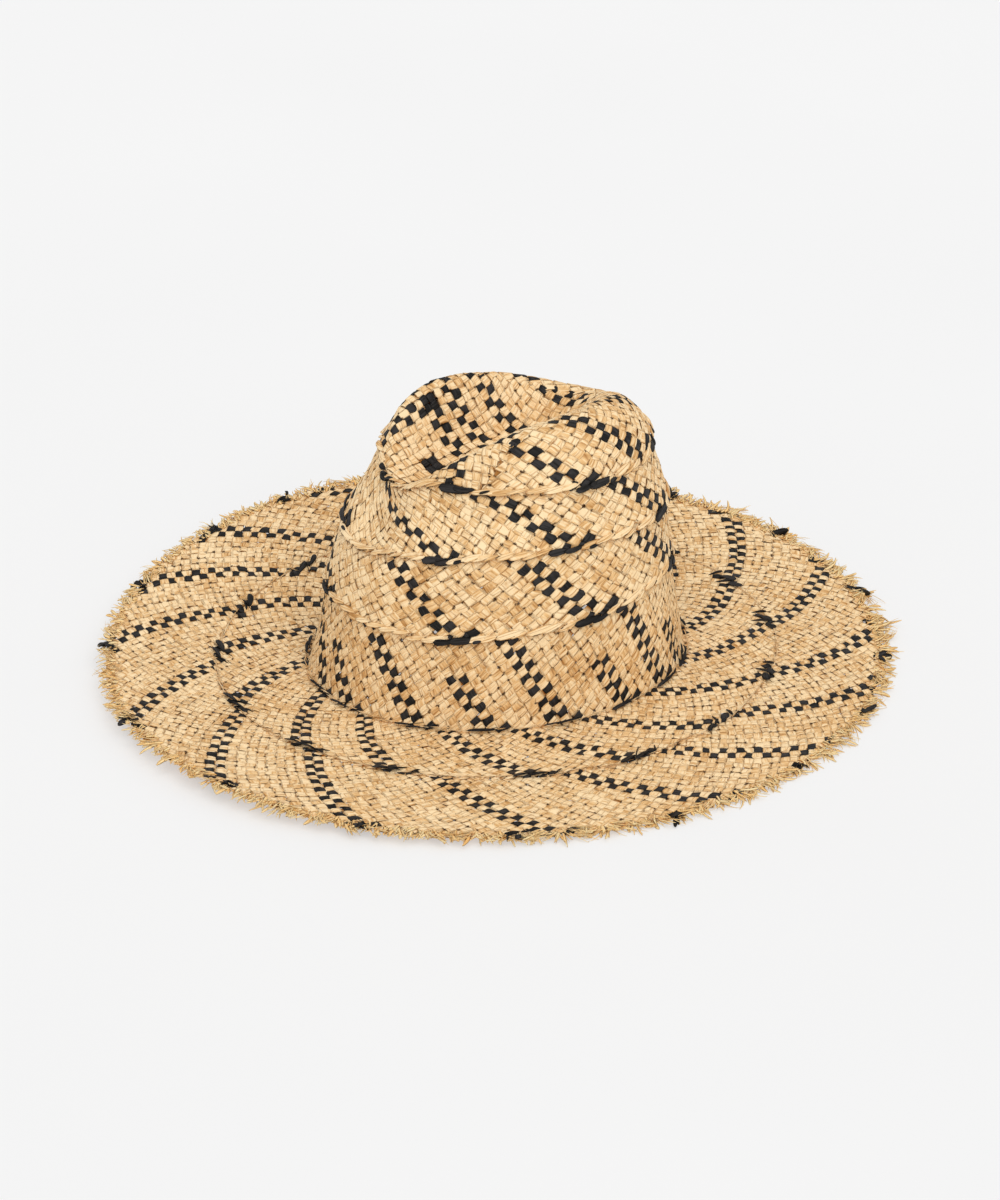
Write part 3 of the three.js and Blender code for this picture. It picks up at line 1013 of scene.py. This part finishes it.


# Materials

# shade is the colour that painted shade is multiplied towards; gap is the near-black painted shade of spots
# at some crossing corners
straws = {
    "straw_natural": {
        "pale": (1.0, 0.765, 0.46), "middle": (0.85, 0.54, 0.245), "deep": (0.50, 0.235, 0.065),
        "shade": (0.44, 0.24, 0.08), "gap": (0.08, 0.035, 0.012),
        "fibres": 0.75, "smooth": 0.48, "rough": 0.72, "bump": 0.8, "shine": 0.15,
    },
    "straw_dyed": {
        "pale": (0.036, 0.033, 0.032), "middle": (0.014, 0.013, 0.012), "deep": (0.006, 0.0055, 0.005),
        "shade": (0.35, 0.35, 0.35), "gap": (0.002, 0.002, 0.002),
        "fibres": 0.6, "smooth": 0.5, "rough": 0.75, "bump": 0.7, "shine": 0.15,
    },
    "straw_loose": {
        "pale": (1.0, 0.81, 0.46), "middle": (1.0, 0.66, 0.27), "deep": (0.86, 0.45, 0.13),
        "shade": (0.90, 0.62, 0.30), "gap": (0.25, 0.1, 0.03),
        "fibres": 0.6, "smooth": 0.45, "rough": 0.70, "bump": 0.6, "shine": 0.3,
    },
}
tones = {  # how far each sends the colour from pale, at 0, through middle to deep, at 1
    "straw": 0.26,
    "float": 0.50,
    "streaks": 1.7,
    "patches": 0.5,
    "all": -0.14,
}


def mixedColour(tree, factor, first, second, blend="MIX"):
    values = {"Factor_Float": factor, "A_Color": first, "B_Color": second}
    node = addNode(tree, "ShaderNodeMix", values, data_type="RGBA", blend_type=blend)
    return socketOf(node.outputs, "Result_Color")


def remapped(tree, value, low, high, first=0.0, last=1.0):
    values = {"Value": value, "From Min": low, "From Max": high, "To Min": first, "To Max": last}
    return addNode(tree, "ShaderNodeMapRange", values).outputs["Result"]


def attributeOf(tree, name):
    return addNode(tree, "ShaderNodeAttribute", attribute_name=name).outputs["Fac"]


def fibreGroup():
    # Colour with painted shade, fibres and height of a straw, from its own map: x runs across it and y along
    # it
    tree = bpy.data.node_groups.new("straw_fibres", "ShaderNodeTree")
    addSockets(tree, "OUTPUT", {"Color": ["Colour"], "Float": ["Fibres", "Height"]})
    addSockets(tree, "INPUT", {"Color": ["Pale", "Middle", "Deep", "Shade", "Gap"], "Float": ["Amount"]})
    given = tree.nodes.new("NodeGroupInput").outputs
    add, minus, times, size, larger = mathOf(tree, "ADD SUBTRACT MULTIPLY ABSOLUTE MAXIMUM")
    across, along, _ = separated(tree, addNode(tree, "ShaderNodeUVMap", uv_map="strawMap").outputs["UV"])
    strawTone, floatTone, lift = (attributeOf(tree, name) for name in ("strawTone", "floatTone", "lift"))
    place = addNode(tree, "ShaderNodeTexCoord").outputs["Object"]

    # long thin fibres and broader streaks, each straw with its own
    own = add(times(strawTone, 57.0), times(floatTone, 23.0))
    fibres = noiseAt(tree, combined(tree, add(times(across, 7.0), own), times(along, 0.6), own), 1.0, 2.0)
    streaks = noiseAt(tree, combined(tree, add(times(across, 3.0), own), times(along, 0.5), own), 1.0, 1.0)
    fibres = remapped(tree, fibres, -0.2, 0.2)
    patches = noiseAt(tree, place, 28.0, 1.0)
    stains = remapped(tree, noiseAt(tree, place, 190.0, 2.0), 0.12, 0.24)

    tone = add(times(strawTone, tones["straw"]), times(floatTone, tones["float"]))
    tone = add(tone, times(streaks, tones["streaks"]), times(patches, tones["patches"]))
    tone = add(tone, times(minus(fibres, 0.5), given["Amount"]), tones["all"])
    colour = mixedColour(tree, remapped(tree, tone, 0.0, 0.5), given["Pale"], given["Middle"])
    colour = mixedColour(tree, remapped(tree, tone, 0.5, 1.1), colour, given["Deep"])
    colour = mixedColour(tree, times(stains, 0.5), colour, given["Deep"])

    # painted shade: darker where a straw dives under the next one, in the creases along its edges and where
    # it is split
    broken = remapped(tree, noiseAt(tree, place, 160.0, 1.0), -0.12, 0.12, 0.3, 1.0)
    diveShade = times(remapped(tree, lift, 0.35, -0.6), broken)
    edgeness = size(minus(across, 0.5))
    edge = remapped(tree, edgeness, 0.42, 0.5, 0.0, 0.2)
    splitAt = add(0.5, times(noiseAt(tree, combined(tree, own, times(along, 0.15), 3.0), 1.0), 2.2))
    split = remapped(tree, size(minus(across, splitAt)), 0.02, 0.08, 0.45, 0.0)
    dark = larger(larger(diveShade, edge), split)
    colour = mixedColour(tree, dark, colour, mixedColour(tree, 1.0, colour, given["Shade"], "MULTIPLY"))

    # painted shade: near-black spots at some of the corners where straws cross, standing in for shaded holes
    corner = times(remapped(tree, edgeness, 0.25, 0.41), remapped(tree, lift, 0.88, 0.63))
    pinholeShadeSpots = remapped(tree, noiseAt(tree, place, 330.0), 0.03, 0.09)
    colour = mixedColour(tree, times(corner, pinholeShadeSpots), colour, given["Gap"])

    out = tree.nodes.new("NodeGroupOutput").inputs
    height = minus(add(times(fibres, 0.6), times(streaks, 1.4)), split)
    for socket, value in zip(out, (colour, fibres, height)):
        tree.links.new(value, socket)
    return tree


def strawMaterial(name, look):
    material = bpy.data.materials.new(name)
    material.use_nodes = True
    tree = material.node_tree
    group = addNode(tree, "ShaderNodeGroup", node_tree=fibreNodes)
    for label in ("pale", "middle", "deep", "shade", "gap"):
        group.inputs[label.title()].default_value = (*look[label], 1)
    group.inputs["Amount"].default_value = look["fibres"]
    values = {"Height": group.outputs["Height"], "Strength": look["bump"], "Distance": 0.0003}
    bump = addNode(tree, "ShaderNodeBump", values)
    shader = tree.nodes["Principled BSDF"]
    shader.inputs["Specular IOR Level"].default_value = look["shine"]
    tree.links.new(group.outputs["Colour"], shader.inputs["Base Color"])
    rough = remapped(tree, group.outputs["Fibres"], 0.0, 1.0, look["smooth"], look["rough"])
    tree.links.new(rough, shader.inputs["Roughness"])
    tree.links.new(bump.outputs["Normal"], shader.inputs["Normal"])
    return material


fibreNodes = fibreGroup()
naturalStraw, dyedStraw, looseStraw = (strawMaterial(name, look) for name, look in straws.items())

floorGap = 0.0004
strawTree = plaitTree()
ridgeTree = foldTree()
edgeTree = frayTree()


def plaitPieces(name, node, skin, sorts, lattice, corner, wrap, steps, seed):
    # the natural and the dyed straws of one plait
    kinds = (("straw", naturalStraw, straw["share"]), ("stripes", dyedStraw, straw["dyedShare"]))
    for runs, (ending, material, share) in zip(sorts, kinds):
        values = {
            "Skin": skin, "Step A": lattice[0], "Step B": lattice[1], "Corner": corner, "Wrap": wrap,
            "Share": share, "Wander": straw["wander"], "Uneven Width": straw["unevenWidth"],
            "Floor": floorGap, "Steps": steps, "Seed": seed, "Material": material,
            **sized(straw, "tilt thickness swing depth"),
        }
        piece = growPiece(f"{name}_{ending}", strawStarts(name, runs), strawTree, values)
        keepPiece(piece, node)
    bpy.data.objects.remove(skin)
    print("plaited", name)


for number, (name, plan) in enumerate(rounds.items()):
    skin, edgeX, edgeY = roundSkin(name, plan)
    sorts = splitByColour(plan, straightRuns(plan, edgeX, edgeY))
    node = "crown_tip" if name == "crown_crest" else name
    steps = plan.get("steps", straw["steps"])
    plaitPieces(name, node, skin, sorts, *latticeSteps(plan), 1.0, steps, number + 3)

knots = tipKnots()
sorts, lattice = tipRuns(knots)
plaitPieces("crown_tip", "crown_tip", tipSkin(knots), sorts, lattice, (0.5, 0.5, 0), 0.0, straw["steps"], 11)

for number, (name, ridge) in enumerate(ridges.items()):
    plan = rounds[ridge["follows"]]
    skin = ridgeSkin(name + "_skin", plan, ridge["atTop"])
    starts = foldStarts(plan, ridge["atTop"])
    for ending, material in (("folds", naturalStraw), ("dyed", dyedStraw)):
        sort = ridgeFolds["sorts"][ending]
        size = ridge[ending] * millimetre
        long, slant = (ridge["long"], ridge["slant"]) if ending == "dyed" else (1, 1)
        values = {
            "Skin": skin, "Around": float(plan["around"]), "Per Map": ridgeFolds["perMap"] * millimetre,
            "Length": sort["length"] * long, "Slant": sort["slant"] * slant * size, "Skew": sort["skew"],
            "Floor": floorGap, "Seed": number + 21, "Material": material,
            **sized(sort, "width below raise", size), **sized(ridgeFolds, "fall tilt thickness", size),
        }
        piece = growPiece(f"{name}_{ending}", starterMesh(name, starts[ending]), ridgeTree, values)
        keepPiece(piece, ridge["replaces"])
    bpy.data.objects.remove(skin)
print("folded the ridges")

skin = fraySkin()
scatter = np.random.default_rng(5)
for (ending, sort), material in zip(fray["sorts"].items(), (looseStraw, dyedStraw)):
    if ending == "ends":
        spots = (np.arange(sort["count"]) + scatter.random(sort["count"])) / sort["count"]
    else:
        spots = np.repeat(fray["dyedTurns"], sort["count"]) / 360
        spots = spots + scatter.normal(0, 0.0016, len(spots))
    values = {
        "Skin": skin, "Girth": fray["girth"], "Skin From": fray["skinFrom"] * millimetre,
        "Skin Width": (fray["skinTo"] - fray["skinFrom"]) * millimetre,
        "Floor": floorGap, "Seed": 61, "Material": material, **sized(fray, "from to thickness"),
        **sized(sort, "shortest longest breadth raise"), **sized(sort, "lean lock", 1),
    }
    starter = starterMesh("fray", {"spot": spots, "fullness": turnValue(fray["fullness"], spots * 360)})
    piece = growPiece(f"brim_fray_{ending}", starter, edgeTree, values)
    keepPiece(piece, "brim_fray")
bpy.data.objects.remove(skin)
print("frayed the edge")


# Floor, light and camera

studio = {
    "floor": 6.0,
    "floorColour": 0.44,
    "floorGlow": 0.455,  # a lit table, so the shadow under the brim stays faint
    "sky": 0.67,
    "sun": 1.3,
    "sunSize": 60,
    "sunTilt": 35,
    "sunTurn": 85,
}


def floorMaterial():
    material = bpy.data.materials.new("pale_floor")
    material.use_nodes = True
    tree = material.node_tree
    place = addNode(tree, "ShaderNodeTexCoord").outputs["Object"]
    tone = remapped(tree, noiseAt(tree, place, 3.0, 2.0), -0.3, 0.3)
    dark, light = ((*(studio["floorColour"] + change,) * 3, 1) for change in (-0.008, 0.008))
    shader = tree.nodes["Principled BSDF"]
    shader.inputs["Roughness"].default_value = 0.9
    shader.inputs["Emission Color"].default_value = (1, 1, 1, 1)
    shader.inputs["Emission Strength"].default_value = studio["floorGlow"]
    tree.links.new(mixedColour(tree, tone, dark, light), shader.inputs["Base Color"])
    return material


floorMesh = bpy.data.meshes.new("floor")
corners = [(x * studio["floor"], y * studio["floor"], 0) for x, y in ((-1, -1), (1, -1), (1, 1), (-1, 1))]
floorMesh.from_pydata(corners, [], [(0, 1, 2, 3)])
floorMesh.materials.append(floorMaterial())
floor = bpy.data.objects.new("floor", floorMesh)
collection.objects.link(floor)

world = bpy.data.worlds.new("studio")
world.use_nodes = True
background = world.node_tree.nodes["Background"]
background.inputs["Color"].default_value = (1, 1, 1, 1)
background.inputs["Strength"].default_value = studio["sky"]
bpy.context.scene.world = world

sun = bpy.data.lights.new("softbox", "SUN")
sun.energy = studio["sun"]
sun.angle = math.radians(studio["sunSize"])
lamp = bpy.data.objects.new("softbox", sun)
lamp.rotation_euler = (math.radians(studio["sunTilt"]), 0, math.radians(studio["sunTurn"]))
collection.objects.link(lamp)

view = {
    "turn": 70,
    "rise": 27.7,
    "distance": 1.8,
    "target": (0, 0, 0.0337),
    "imageHeight": 1200,
    "focalPixels": 3400,
    "shiftRight": 1.3,  # pixels that the picture is moved by
    "shiftUp": -3.9,
}
camera = bpy.data.cameras.new("camera")
camera.sensor_width = 36
camera.lens = camera.sensor_width * view["focalPixels"] / view["imageHeight"]
camera.shift_x = view["shiftRight"] / view["imageHeight"]
camera.shift_y = view["shiftUp"] / view["imageHeight"]
turn, rise = math.radians(view["turn"]), math.radians(view["rise"])
back = Vector((math.sin(turn) * math.cos(rise), -math.cos(turn) * math.cos(rise), math.sin(rise)))
cameraObject = bpy.data.objects.new("camera", camera)
cameraObject.location = Vector(view["target"]) + back * view["distance"]
cameraObject.rotation_mode = "QUATERNION"
cameraObject.rotation_quaternion = (-back).to_track_quat("-Z", "Y")
collection.objects.link(cameraObject)
bpy.context.scene.camera = cameraObject
bpy.context.scene.view_settings.view_transform = "Standard"
